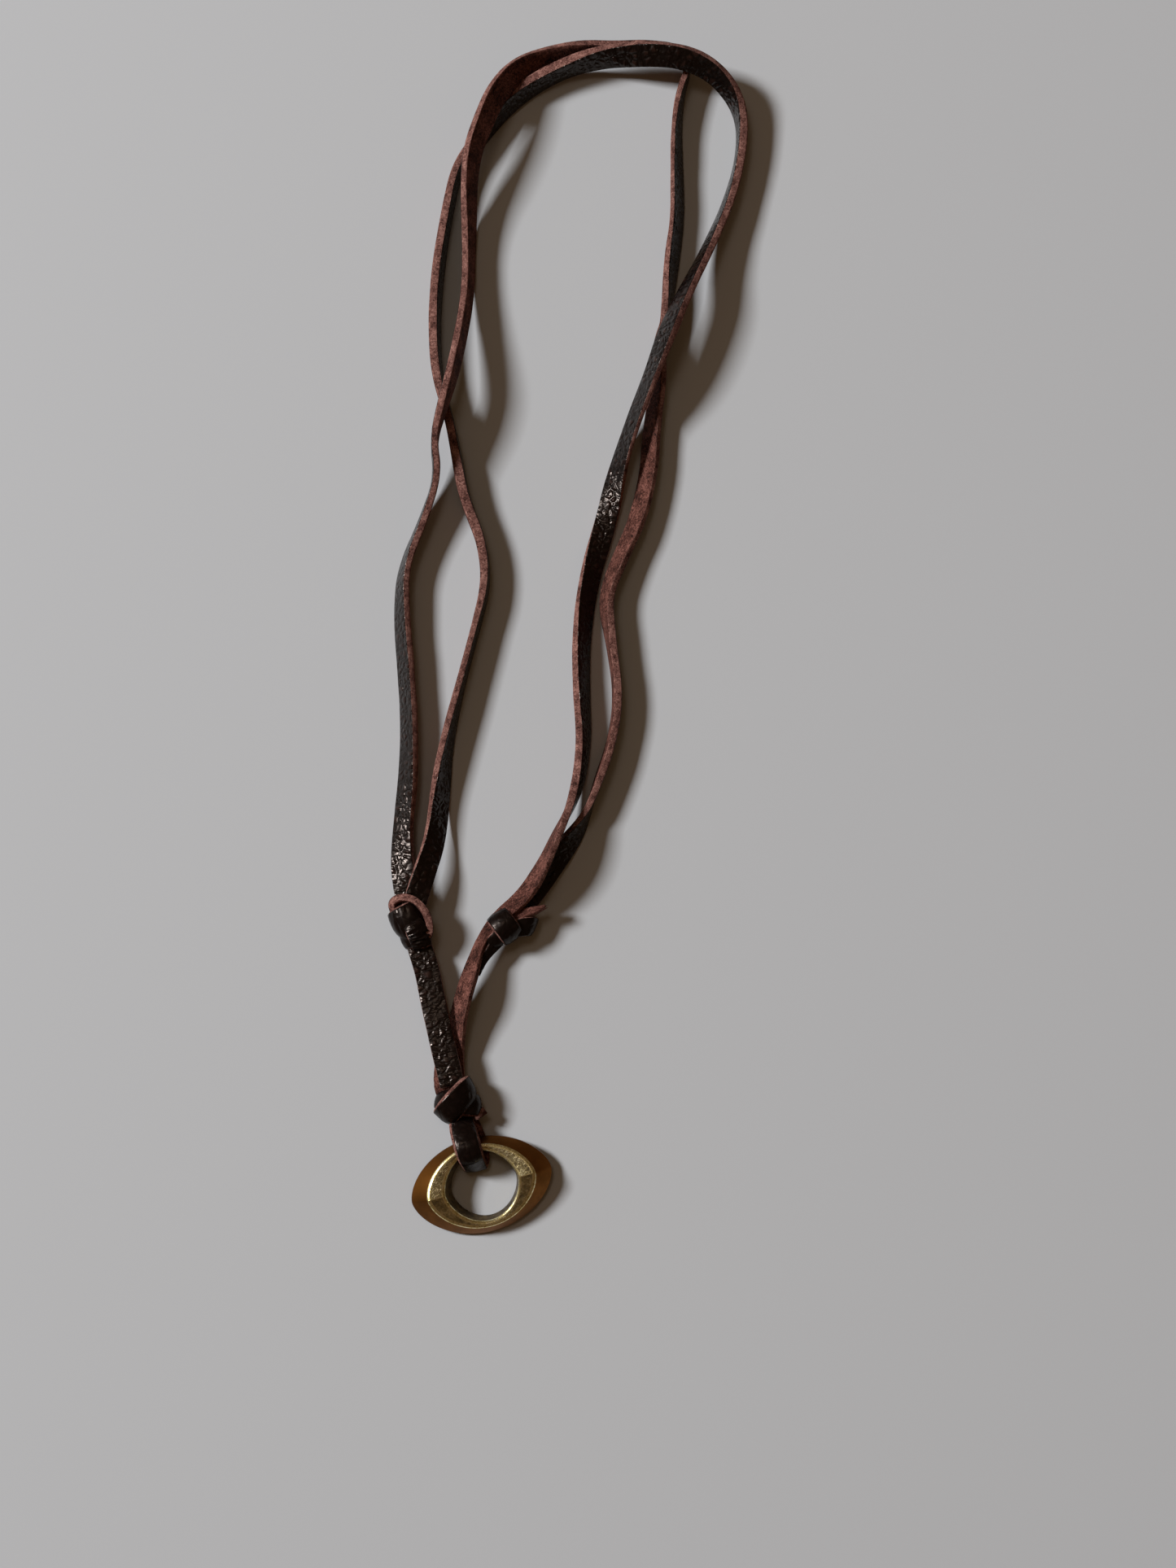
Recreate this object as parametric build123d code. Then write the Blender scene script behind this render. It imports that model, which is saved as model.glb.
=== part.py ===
from build123d import *
import math
import os

# A necklace of two flat leather laces that lies on a surface, with a brass ring on a loop.
# Millimetres, +X to the viewer's right, +Y towards the back of the neck, +Z up from the surface.
# The origin is on the surface, under the middle of the ring and the three knots.

os.makedirs("parts", exist_ok=True)

# The leather lace
lace_width = 5.0
lace_thickness = 1.5
gap = 0.12                      # air left between pieces that touch

# The brass ring, in its own frame: long axis along x, back at z = 0
ring_length = 28.7
ring_breadth = 19.0
ring_height = 4.4               # at the ridge, on the crest
ring_edge = 0.9                 # upright wall of the outline
crest_length = 21.6
crest_breadth = 16.4
hole_length = 15.4
hole_breadth = 14.4
hole_draft = 0.9                # the hole narrows by this much on each side, towards the back
hole_slant = 0.5                # and shifts by this much along the long axis
ridge_fall = 1.3                # the crest is this much lower at the ends of the short axis
face_dish = 0.5                 # the face falls by this much from the crest to the hole
eye_point = 1.2                 # over 1 draws the outline out to a point at both ends
ring_turn = 14.6                # degrees, long axis against X
ring_centre = (2.6, -23.8)
ring_steps = 72

# The loop on the ring, along the ring's short axis
loop_offset = -0.8              # of its middle, along the long axis
loop_reach = 3.4                # its bend stays this far from the ring's middle
loop_end = 13.3                 # its two legs end this far from the ring's middle, in the knot
loop_clearance = 0.25           # over the ring's crest
loop_leg_rise = 0.61            # underside of the upper leg in the knot, in knot heights
loop_bend = 0.98                # bend over the hole's edge, against the tightest that fits
loop_heel = 0.5                 # bend at the lower leg, against the same
loop_shoulder = 3.0             # bend from the crest down to the knot, in lace widths

# The knots
knot_height = 7.2
roll_round = 0.42                     # rounding of a roll, in its own heights
roll_round_most = 0.8                 # and at most this much of its reach
tail_width = 0.8                      # of a cut tail, in lace widths
passage_reach = 3.0                   # how far a passage runs from a knot's centre, in lace widths
left_knot_centre = (-11.8, 29.3)
left_knot_turn = 15.0                 # degrees, heading of the lace through it, from +Y
right_knot_centre = (7.6, 28.2)
right_knot_turn = -41.0
pendant_knot_centre = (-2.6, -6.4)
pendant_knot_turn = 17.0

facet_turn = 6.0                # degrees of bend or twist in one facet of a lace
facet_length = 3.2              # longest facet of a lace
arc_share = 0.45                # of the shorter run that a corner's arc may take

# The rolls of leather that make each knot, in the knot's frame, y along the lace through it.
# reach: half of its width across, length: along its own axis, both in lace widths
# rise: underside and crown: top, in knot heights; turn: degrees; x, y: middle, in lace widths
left_knot_rolls = (
    # reach, length, rise, crown, turn, x, y
    (0.80, 1.00, 0.00, 1.00, -32.0, -0.10, 0.20),
    (0.72, 0.84, 0.02, 0.92, 38.0, 0.02, -0.34),
    (0.62, 1.66, 0.04, 0.80, 0.0, 0.00, 0.00),
)
right_knot_rolls = (
    (0.88, 0.94, 0.00, 1.00, 0.0, 0.06, 0.06),
    (0.62, 1.80, 0.04, 0.80, 0.0, -0.02, -0.06),
    (0.44, 0.84, 0.02, 0.86, -30.0, 0.62, 0.40),
)
pendant_knot_rolls = (
    (0.96, 1.04, 0.00, 1.00, 32.0, 0.02, -0.02),
    (0.66, 1.90, 0.04, 0.84, 0.0, 0.02, 0.04),
    (0.62, 0.80, 0.02, 0.90, -40.0, -0.20, 0.62),
)

# The cut tails that stick out of the knots, in the knot's frame
# x, y: middle, in lace widths; turn: degrees; length: in lace widths; rise: in knot heights
left_knot_tail = (0.10, -0.92, 20.0, 0.50, 0.60)
right_knot_tail = (0.62, 0.90, -62.0, 0.90, 0.20)
pendant_knot_tail = (0.92, -0.62, -64.0, 0.60, 0.42)

# The routes, from the pendant knot round the neck to the other side knot.
# lift: height of the lace's lowest edge over the surface
# lean: degrees, 0 grain side up, 90 on edge with the grain to the left of the way, 180 suede up
left_route = (
    # x, y, lift, lean
    (-3.3, -4.4, 3.7, 0),
    (-4.5, 0.9, 3.5, 0),
    (-5.9, 6.8, 3.1, 0),
    (-7.5, 13.4, 2.6, 0),
    (-8.6, 19.2, 2.2, 2),
    (-10.2, 24.0, 1.9, 0),
    (-11.9, 30.0, 1.9, 0),
    (-13.5, 37.0, 1.5, 8),
    (-14.0, 46.0, 0.2, 36),
    (-12.8, 57.4, 0.0, 48),
    (-12.6, 69.4, 0.0, 56),
    (-13.5, 81.6, 0.0, 57),
    (-14.5, 92.6, 0.0, 60),
    (-14.2, 102.2, 0.0, 71),
    (-10.0, 112.2, 0.2, 78),
    (-7.1, 120.6, 1.8, 82),
    (-7.9, 128.0, 4.6, 87),
    (-6.1, 134.4, 5.7, 95),
    (-4.2, 141.2, 5.7, 102),
    (-2.6, 149.6, 3.6, 103),
    (-1.1, 160.4, 0.8, 104),
    (-1.0, 171.6, 0.3, 107),
    (-1.0, 181.2, 2.6, 116),
    (-0.5, 188.8, 5.2, 117),
    (1.9, 196.0, 5.8, 119),
    (4.4, 202.9, 5.5, 122),
    (8.5, 208.7, 3.2, 118),
    (15.2, 212.3, 0.2, 108),
    (22.8, 213.8, 0.0, 98),
    (30.2, 214.2, 0.0, 93),
    (37.2, 214.4, 0.0, 93),
    (43.0, 213.6, 0.0, 93),
    (45.4, 210.0, 0.0, 92),
    (43.5, 204.8, 0.0, 84),
    (42.6, 197.6, 0.0, 72),
    (42.6, 187.6, 0.0, 65),
    (42.8, 177.0, 0.0, 63),
    (41.3, 166.6, 0.0, 63),
    (40.4, 157.6, 0.0, 80),
    (38.6, 149.6, 0.0, 108),
    (38.6, 141.4, 0.0, 122),
    (37.2, 132.2, 0.0, 128),
    (36.6, 122.4, 0.0, 132),
    (34.4, 112.6, 0.0, 131),
    (30.3, 103.4, 0.0, 124),
    (27.3, 95.8, 0.0, 113),
    (28.7, 86.0, 0.0, 96),
    (30.2, 75.2, 0.0, 94),
    (28.8, 65.4, 0.0, 98),
    (25.7, 56.8, 0.0, 99),
    (23.2, 49.4, 0.0, 82),
    (18.2, 42.4, 0.0, 18),
    (14.3, 36.2, 0.6, 4),
    (10.4, 31.4, 1.9, 0),
    (7.4, 27.9, 1.9, 0),
)
right_route = (
    # x, y, lift, lean
    (-2.4, -4.8, 1.9, -180),
    (-2.8, 0.8, 0.6, -166),
    (-2.4, 7.2, 0.4, -132),
    (-1.0, 14.2, 2.2, -124),
    (1.0, 20.0, 3.3, -134),
    (4.2, 24.6, 3.8, -160),
    (7.6, 28.8, 3.9, -172),
    (11.4, 33.6, 3.9, -146),
    (14.9, 39.7, 3.8, -116),
    (17.8, 46.6, 3.4, -104),
    (21.6, 55.0, 1.0, -80),
    (23.2, 65.4, 0.0, -70),
    (22.5, 77.0, 0.0, -61),
    (22.6, 88.6, 0.0, -55),
    (24.2, 100.2, 0.0, -38),
    (27.8, 112.4, 0.0, 5),
    (30.2, 123.6, 0.5, 52),
    (33.7, 133.8, 2.2, 56),
    (37.4, 142.6, 5.0, 58),
    (40.3, 150.6, 5.7, 51),
    (44.0, 159.2, 5.0, 62),
    (48.8, 169.4, 1.4, 70),
    (53.6, 180.6, 0.0, 76),
    (56.3, 191.0, 0.0, 86),
    (56.3, 200.4, 0.6, 80),
    (51.5, 206.7, 3.8, 56),
    (45.1, 209.8, 5.8, 45),
    (37.0, 211.0, 5.2, 32),
    (28.8, 211.5, 2.8, 56),
    (20.6, 210.1, 1.2, 79),
    (12.8, 206.6, 0.0, 76),
    (6.6, 201.5, 0.0, 68),
    (0.8, 194.0, 0.0, 80),
    (-3.8, 187.4, 0.0, 83),
    (-5.8, 177.2, 0.0, 84),
    (-7.6, 164.8, 0.0, 80),
    (-8.2, 152.4, 0.0, 83),
    (-7.4, 141.8, 0.0, 84),
    (-4.8, 133.4, 0.0, 87),
    (-3.2, 125.0, 0.0, 86),
    (-1.6, 116.2, 0.0, 88),
    (2.0, 107.6, 0.0, 89),
    (3.1, 98.6, 0.0, 86),
    (0.7, 88.8, 0.0, 85),
    (-2.1, 77.8, 0.0, 85),
    (-4.8, 66.6, 0.0, 76),
    (-6.2, 56.0, 0.0, 53),
    (-6.9, 46.0, 1.2, 38),
    (-9.3, 37.8, 4.0, 20),
    (-11.4, 31.4, 3.9, 0),
)


def rest_height(lean):
    """Height of the lace's middle over its lowest edge when it leans by this much."""
    a = math.radians(lean)
    return (lace_width * abs(math.sin(a)) + lace_thickness * abs(math.cos(a))) / 2


def corner_radii(points):
    """The largest tangent arc that the two runs at each corner allow."""
    radii = []
    for before, at, after in zip(points, points[1:], points[2:]):
        turn = (at - before).get_angle(after - at)
        shorter = min((at - before).length, (after - at).length)
        radii.append(arc_share * shorter / math.tan(math.radians(turn / 2)))
    return radii


def lean_at(distance, marks):
    """The lean between two marks, each a distance along the lace and its lean."""
    for (start, first), (end, last) in zip(marks, marks[1:]):
        if distance <= end:
            share = max(0.0, (distance - start) / (end - start))
            return first + share * (last - first)
    return marks[-1][1]


def stations(name, route):
    """Places along the lace: its middle, its sideways direction and its grain direction."""
    points = [Vector(x, y, lift) for x, y, lift, lean in route]
    radii = corner_radii(points)
    path = FilletPolyline(*points, radius=radii)
    print(name, "length", round(path.length, 1), "radii", [round(r) for r in radii])
    steps = []
    marks = [(0.0, route[0][3])]
    travelled = 0.0
    for edge in sorted_edges(path, points[0]):
        bend = 0.0
        if edge.geom_type == GeomType.CIRCLE:
            bend = math.degrees(edge.length / edge.radius)
            marks.append((travelled + edge.length / 2, route[len(marks)][3]))
        count = max(1, math.ceil(bend / facet_turn), math.ceil(edge.length / facet_length))
        steps += [(travelled, edge, i / count) for i in range(count)]
        travelled += edge.length
    steps.append((travelled, edge, 1.0))
    marks.append((travelled - edge.length, route[-1][3]))
    places = []
    for before, edge, share in steps:
        lean = lean_at(before + share * edge.length, marks)
        tangent = edge % share
        side = tangent.cross(Vector(0, 0, 1)).normalized()
        up = side.cross(tangent)
        a = math.radians(lean)
        grain = up * math.cos(a) - side * math.sin(a)
        across = side * math.cos(a) + up * math.sin(a)
        middle = edge @ share + Vector(0, 0, rest_height(lean))
        places.append((middle, across, grain))
    return places


def sorted_edges(path, start):
    """The path's edges in order, each turned to run the right way."""
    left = list(path.edges())
    at = start
    ordered = []
    while left:
        edge = min(left, key=lambda e: min((e @ 0 - at).length, (e @ 1 - at).length))
        left.remove(edge)
        if (edge @ 1 - at).length < (edge @ 0 - at).length:
            edge = edge.reversed()
        ordered.append(edge)
        at = edge @ 1
    return ordered


def ribbon(places, width, thickness):
    """A faceted strip of leather through the places."""
    rings = []
    for middle, across, grain in places:
        a = across * (width / 2)
        g = grain * (thickness / 2)
        rings.append((middle + a + g, middle - a + g, middle - a - g, middle + a - g))
    faces = [Face(Wire.make_polygon(rings[0])), Face(Wire.make_polygon(rings[-1]))]
    for one, two in zip(rings, rings[1:]):
        for i in range(4):
            j = (i + 1) % 4
            faces.append(Face(Wire.make_polygon((one[i], one[j], two[j]))))
            faces.append(Face(Wire.make_polygon((one[i], two[j], two[i]))))
    return Solid(Shell(faces))


def passage(places, centre, reach):
    """The room that a lace needs in a knot: its own stretch there, a gap larger all round."""
    near = [p for p in places if math.hypot(p[0].X - centre[0], p[0].Y - centre[1]) < reach]
    first = near[0][0] + (near[0][0] - near[1][0]).normalized() * gap
    last = near[-1][0] + (near[-1][0] - near[-2][0]).normalized() * gap
    near[0] = (first, near[0][1], near[0][2])
    near[-1] = (last, near[-1][1], near[-1][2])
    return ribbon(near, lace_width + 2 * gap, lace_thickness + 2 * gap)


def ring_tilt():
    """The ring lies on its near rim and on the loop's lower leg."""
    across = (abs(loop_offset) + lace_width / 2 + hole_slant) / (hole_length / 2 - hole_draft)
    rests_at = ring_breadth / 2 + (hole_breadth / 2 - hole_draft) * math.sqrt(1 - across**2)
    return math.degrees(math.asin((lace_thickness + 3 * gap) / rests_at))


def ring_solid():
    """The ring in its own frame, back down: outline, crest and hole, joined by flat facets."""
    half_crest = crest_breadth / 2
    circles = [[], [], [], [], []]
    for i in range(ring_steps):
        a = 2 * math.pi * i / ring_steps
        c, s = math.cos(a), math.sin(a)
        eye = math.copysign(abs(s) ** eye_point, s)
        out_x, out_y = ring_length / 2 * c, ring_breadth / 2 * eye
        crest_y, hole_y = half_crest * s, hole_breadth / 2 * s
        crest_z = ring_height - ridge_fall * abs(crest_y) / half_crest
        hole_z = ring_height - face_dish - ridge_fall * abs(hole_y) / half_crest
        back_x = (hole_length / 2 - hole_draft) * c + hole_slant
        back_y = (hole_breadth / 2 - hole_draft) * s
        circles[0].append(Vector(out_x, out_y, 0))
        circles[1].append(Vector(out_x, out_y, ring_edge))
        circles[2].append(Vector(crest_length / 2 * c, crest_y, crest_z))
        circles[3].append(Vector(hole_length / 2 * c, hole_y, hole_z))
        circles[4].append(Vector(back_x, back_y, 0))
    faces = []
    for one, two in zip(circles, circles[1:] + circles[:1]):
        for i in range(ring_steps):
            j = (i + 1) % ring_steps
            faces.append(Face(Wire.make_polygon((one[i], one[j], two[j]))))
            faces.append(Face(Wire.make_polygon((one[i], two[j], two[i]))))
    return Solid(Shell(faces))


def pendant_ring():
    tilt = ring_tilt()
    lift = ring_breadth / 2 * math.sin(math.radians(tilt))
    flat = Location((*ring_centre, lift), (0, 0, ring_turn))
    return flat * Location((0, 0, 0), (tilt, 0, 0)) * ring_solid()


def loop_places():
    """Places along the loop, which stays in an upright plane across the ring's rim."""
    tilt = math.radians(ring_tilt())
    half = lace_thickness / 2
    crest_x = crest_breadth / 2
    crest_z = (crest_x + ring_breadth / 2) * math.sin(tilt)
    crest_z += (ring_height - ridge_fall) * math.cos(tilt)
    over = crest_z + loop_clearance + half
    bend = loop_reach + half
    points = [
        Vector(loop_offset, loop_end, half),
        Vector(loop_offset, bend, half),
        Vector(loop_offset, bend, over),
        Vector(loop_offset, crest_x, over),
        Vector(loop_offset, loop_end, loop_leg_rise * knot_height + half),
    ]
    tight = (over - half) / 2 * loop_bend
    path = FilletPolyline(*points, radius=[loop_heel * tight, tight, loop_shoulder * lace_width])
    places = []
    across = Vector(1, 0, 0)
    for edge in sorted_edges(path, points[0]):
        bend = 0.0
        if edge.geom_type == GeomType.CIRCLE:
            bend = math.degrees(edge.length / edge.radius)
        count = max(1, math.ceil(bend / (2 * facet_turn)))
        for i in range(count):
            tangent = edge % (i / count)
            places.append((edge @ (i / count), across, across.cross(tangent)))
    places.append((edge @ 1, across, across.cross(edge % 1)))
    turn = Location((*ring_centre, 0), (0, 0, ring_turn))
    return [(turn_point(turn, p), turn_way(turn, a), turn_way(turn, g)) for p, a, g in places]


def turn_point(place, point):
    return (place * Location(point)).position


def turn_way(place, way):
    return turn_point(place, way) - turn_point(place, Vector(0, 0, 0))


def roll(reach, length, rise, crown, turn, x, y):
    """One turn of the lace round a knot, with what it holds, in the knot's frame."""
    height = (crown - rise) * knot_height
    middle = (crown + rise) / 2 * knot_height
    round_off = min(roll_round * height, roll_round_most * reach * lace_width)
    section = Plane.XZ * RectangleRounded(2 * reach * lace_width, height, round_off)
    body = extrude(section, length * lace_width / 2, both=True)
    return Location((x * lace_width, y * lace_width, middle), (0, 0, turn)) * body


def tail(x, y, turn, length, rise):
    """The lace's cut end, which sticks out of a knot."""
    stub = Box(tail_width * lace_width, length * lace_width, lace_thickness)
    middle = rise * knot_height + lace_thickness / 2
    return Location((x * lace_width, y * lace_width, middle), (0, 0, turn)) * stub


def knot(centre, turn, rolls, stub, laces):
    """Rolls and a tail fused to one solid, with a passage for each lace that goes in."""
    body = roll(*rolls[0])
    for row in rolls[1:]:
        body = body + roll(*row)
    body = body + tail(*stub)
    body = Location((*centre, 0), (0, 0, turn)) * body
    reach = passage_reach * lace_width
    for places in laces:
        body = body - passage(places, centre, reach)
    return max(body.solids(), key=lambda solid: solid.volume)


left_places = stations("left_lace", left_route)
right_places = stations("right_lace", right_route)
ring_loop_places = loop_places()
nodes = {
    "pendant_ring": pendant_ring(),
    "ring_loop": ribbon(ring_loop_places, lace_width, lace_thickness),
    "left_lace": ribbon(left_places, lace_width, lace_thickness),
    "right_lace": ribbon(right_places, lace_width, lace_thickness),
    "pendant_knot": knot(pendant_knot_centre, pendant_knot_turn, pendant_knot_rolls,
                         pendant_knot_tail, (left_places, right_places, ring_loop_places)),
    "left_knot": knot(left_knot_centre, left_knot_turn, left_knot_rolls,
                      left_knot_tail, (left_places, right_places)),
    "right_knot": knot(right_knot_centre, right_knot_turn, right_knot_rolls,
                       right_knot_tail, (left_places, right_places)),
}
for name, shape in nodes.items():
    export_step(shape, f"parts/{name}.step")
    print(name, "volume", round(shape.volume, 1))
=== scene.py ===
# A necklace of two flat leather laces with a cast brass ring, laid on a pale table
import math
import bpy
from mathutils import Matrix, Vector, noise


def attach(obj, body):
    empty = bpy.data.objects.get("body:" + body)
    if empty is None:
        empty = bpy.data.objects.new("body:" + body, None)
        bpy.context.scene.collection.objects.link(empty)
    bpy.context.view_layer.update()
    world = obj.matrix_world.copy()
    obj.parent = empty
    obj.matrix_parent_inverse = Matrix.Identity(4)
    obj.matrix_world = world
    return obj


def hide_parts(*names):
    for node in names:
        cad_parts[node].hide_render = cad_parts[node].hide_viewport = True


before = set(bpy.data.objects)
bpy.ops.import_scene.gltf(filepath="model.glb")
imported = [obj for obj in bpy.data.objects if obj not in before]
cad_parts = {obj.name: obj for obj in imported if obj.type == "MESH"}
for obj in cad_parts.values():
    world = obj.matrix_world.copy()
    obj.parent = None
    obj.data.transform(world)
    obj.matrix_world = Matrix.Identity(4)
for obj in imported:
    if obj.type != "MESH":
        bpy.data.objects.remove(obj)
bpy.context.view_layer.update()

mm = 0.001
clearance = 0.02 * mm      # over the table top
up = Vector((0, 0, 1))
bpy.ops.object.select_all(action="DESELECT")

# Camera, above the table and a little in front of it, as the photo was taken
view = {
    "lens": 63.9,          # mm, on a frame with a 36 mm long side
    "distance": 0.570,     # m, to the table at the picture's middle
    "tilt": 8.0,           # degrees from straight down
    "aim": (0.0239, 0.0573, 0.0),
}


def placeCamera():
    lens = bpy.data.cameras.new("camera")
    lens.lens = view["lens"]
    lens.sensor_width = 36
    camera = bpy.data.objects.new("camera", lens)
    bpy.context.collection.objects.link(camera)
    tilt = math.radians(view["tilt"])
    away = Vector((0, -math.sin(tilt), math.cos(tilt)))
    camera.location = Vector(view["aim"]) + away * view["distance"]
    camera.rotation_euler = (tilt, 0, 0)
    bpy.context.scene.camera = camera


placeCamera()
print("camera placed")

# The laces' routes, in mm: x, y, lift of the lowest edge, lean in degrees, width, thickness
# A lean of 0 is grain side up, 90 on edge with the grain to the left, 180 flesh side up
lace = {
    "width": 5.0,
    "thickness": 1.5,
    "samples": 14,         # points read from the spline between two of the route's points
    "wander": 0.12,        # mm, slow waviness of the cut edges
    "wanderLength": 9.0,
    "fray": 0.045,         # mm, fine unevenness of the cut edges
    "frayLength": 0.7,
    "swell": 0.05,         # mm, slow unevenness of its thickness
    "swellLength": 5.0,
    "tearLength": 2.0,     # mm, of a ragged end
    "turnStep": 4,         # degrees between the sections of a band round a knot
    "leftRoute": (
        (-3.3, -4.4, 3.7, 0, 5.0, 1.5), (-4.5, 0.9, 3.5, 0, 5.1, 1.5),
        (-5.9, 6.8, 3.1, 0, 5.1, 1.5), (-7.5, 13.4, 2.6, 0, 5.1, 1.5),
        (-8.6, 19.2, 2.2, 2, 5.1, 1.5), (-10.2, 24.0, 1.9, 0, 5.0, 1.5),
        (-11.9, 30.0, 1.9, 0, 5.0, 1.5), (-13.5, 37.0, 1.5, 8, 4.8, 1.4),
        (-14.0, 46.0, 0.2, 36, 4.8, 1.1), (-12.8, 57.4, 0.0, 48, 5.0, 1.4),
        (-12.6, 69.4, 0.0, 56, 5.0, 1.4), (-13.5, 81.6, 0.0, 57, 5.0, 1.4),
        (-14.5, 92.6, 0.0, 60, 5.0, 1.4), (-14.2, 102.2, 0.0, 71, 5.0, 1.3),
        (-10.0, 112.2, 0.2, 78, 5.0, 1.5), (-7.1, 120.6, 1.8, 82, 5.0, 1.4),
        (-7.9, 128.0, 4.6, 87, 5.0, 1.5), (-6.1, 134.4, 5.7, 95, 5.0, 1.5),
        (-4.2, 141.2, 5.7, 102, 5.0, 1.6), (-2.6, 149.6, 3.6, 103, 5.0, 1.5),
        (-1.1, 160.4, 0.8, 104, 5.0, 1.5), (-1.0, 171.6, 0.3, 107, 5.0, 1.5),
        (-1.0, 181.2, 2.6, 116, 5.0, 1.5), (-0.5, 188.8, 5.2, 120, 5.0, 1.5),
        (2.0, 195.9, 5.8, 126, 5.0, 1.5), (4.8, 202.6, 5.5, 134, 5.0, 1.5),
        (8.9, 208.3, 3.4, 138, 5.0, 1.4), (15.4, 211.9, 0.8, 132, 5.0, 1.4),
        (22.9, 213.7, 0.2, 110, 5.0, 1.4), (30.2, 214.2, 0.0, 93, 5.0, 1.4),
        (37.2, 214.4, 0.0, 93, 5.0, 1.4), (43.0, 213.6, 0.0, 93, 5.0, 1.4),
        (45.4, 210.0, 0.0, 92, 5.0, 1.4), (43.5, 204.8, 0.0, 84, 5.0, 1.3),
        (42.6, 197.6, 0.0, 72, 5.0, 1.0), (42.6, 187.6, 0.0, 65, 5.0, 1.0),
        (42.8, 177.0, 0.0, 63, 5.0, 1.0), (41.3, 166.6, 0.0, 63, 5.0, 1.3),
        (40.4, 157.6, 0.0, 80, 5.0, 1.6), (38.6, 149.6, 0.0, 108, 4.8, 1.5),
        (38.6, 141.4, 0.0, 122, 4.6, 1.4), (37.2, 132.2, 0.0, 128, 4.6, 1.3),
        (36.6, 122.4, 0.0, 132, 4.7, 1.2), (34.4, 112.6, 0.0, 131, 4.7, 1.2),
        (30.3, 103.4, 0.0, 124, 4.7, 1.4), (27.3, 95.8, 0.0, 113, 4.9, 1.5),
        (28.7, 86.0, 0.0, 96, 5.0, 1.6), (30.2, 75.2, 0.0, 94, 5.0, 1.6),
        (28.8, 65.4, 0.0, 98, 5.0, 1.5), (25.7, 56.8, 0.0, 99, 5.0, 1.5),
        (23.2, 49.4, 0.0, 82, 5.0, 1.2), (18.2, 42.4, 0.0, 18, 4.3, 1.2),
        (14.3, 36.2, 0.6, 4, 4.2, 1.3), (10.4, 31.4, 1.9, 0, 4.4, 1.5),
        (7.4, 27.9, 1.9, 0, 4.6, 1.5),
    ),
    "rightRoute": (
        (-3.1, -4.8, 1.9, -180, 5.0, 1.4), (-3.6, 0.8, 0.6, -166, 5.0, 1.1),
        (-2.7, 7.2, 0.4, -132, 5.0, 1.1), (-1.0, 14.2, 2.0, -126, 5.0, 1.1),
        (0.9, 20.0, 3.0, -148, 3.0, 1.2), (2.2, 24.6, 3.3, -162, 1.9, 1.2),
        (5.4, 29.0, 3.4, -168, 3.0, 1.2), (11.2, 33.7, 3.9, -146, 3.6, 1.1),
        (14.9, 39.7, 3.8, -116, 5.0, 1.1), (17.8, 46.6, 3.4, -104, 5.0, 1.4),
        (21.6, 55.0, 1.0, -80, 5.0, 1.8), (23.2, 65.4, 0.0, -70, 5.0, 1.6),
        (22.5, 77.0, 0.0, -61, 5.0, 1.6), (22.6, 88.6, 0.0, -55, 5.0, 1.3),
        (24.2, 100.2, 0.0, -38, 4.7, 1.0), (27.8, 112.4, 0.0, 5, 4.5, 1.1),
        (30.2, 123.6, 0.5, 52, 4.9, 0.9), (33.7, 133.8, 2.2, 56, 5.0, 0.9),
        (37.4, 142.6, 5.0, 58, 5.0, 1.25), (40.3, 150.6, 5.7, 51, 5.0, 1.6),
        (44.0, 159.2, 5.0, 62, 5.0, 1.6), (48.8, 169.4, 1.4, 70, 5.0, 1.6),
        (53.6, 180.6, 0.0, 76, 5.0, 1.65), (56.3, 191.0, 0.0, 86, 5.0, 1.8),
        (56.3, 200.4, 0.6, 80, 5.0, 1.8), (51.5, 206.7, 3.8, 56, 5.0, 1.3),
        (45.1, 209.8, 5.8, 45, 5.0, 1.8), (37.0, 211.0, 5.2, 32, 5.0, 1.9),
        (28.8, 211.5, 2.8, 56, 5.0, 1.75), (20.6, 210.1, 1.2, 79, 5.0, 2.1),
        (12.8, 206.6, 0.0, 76, 5.0, 2.1), (6.6, 201.5, 0.0, 68, 5.0, 1.6),
        (0.8, 194.0, 0.0, 80, 5.0, 1.6), (-3.8, 187.4, 0.0, 83, 5.0, 1.5),
        (-5.8, 177.2, 0.0, 84, 5.0, 1.65), (-7.6, 164.8, 0.0, 80, 5.0, 1.7),
        (-8.2, 152.4, 0.0, 83, 5.0, 1.85), (-7.4, 141.8, 0.0, 84, 5.0, 1.8),
        (-4.8, 133.4, 0.0, 87, 5.0, 1.7), (-3.2, 125.0, 0.0, 86, 5.0, 2.0),
        (-1.6, 116.2, 0.0, 88, 5.0, 2.1), (2.0, 107.6, 0.0, 89, 5.0, 2.0),
        (3.1, 98.6, 0.0, 86, 5.0, 1.6), (0.7, 88.8, 0.0, 85, 5.0, 1.25),
        (-2.1, 77.8, 0.0, 85, 5.0, 1.3), (-4.8, 66.6, 0.0, 76, 5.0, 1.45),
        (-6.2, 56.0, 0.0, 53, 5.0, 1.3), (-6.9, 46.0, 1.2, 38, 4.8, 1.0),
        (-9.3, 37.8, 4.0, 20, 4.7, 1.1), (-11.4, 31.4, 3.9, 0, 4.8, 1.4),
    ),
}


def readSpline(points):
    # reads a smooth spline that has these points as its control points
    line = bpy.data.curves.new("line", "CURVE")
    line.dimensions = "3D"
    line.resolution_u = lace["samples"]
    spline = line.splines.new("NURBS")
    spline.points.add(len(points) - 1)
    for target, point in zip(spline.points, points):
        target.co = (*point, 1.0)
    spline.order_u = 3
    spline.use_endpoint_u = True
    spline.resolution_u = lace["samples"]
    holder = bpy.data.objects.new("line", line)
    mesh = bpy.data.meshes.new_from_object(holder)
    found = [vertex.co.copy() for vertex in mesh.vertices]
    bpy.data.objects.remove(holder)
    bpy.data.meshes.remove(mesh)
    bpy.data.curves.remove(line)
    return found


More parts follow.
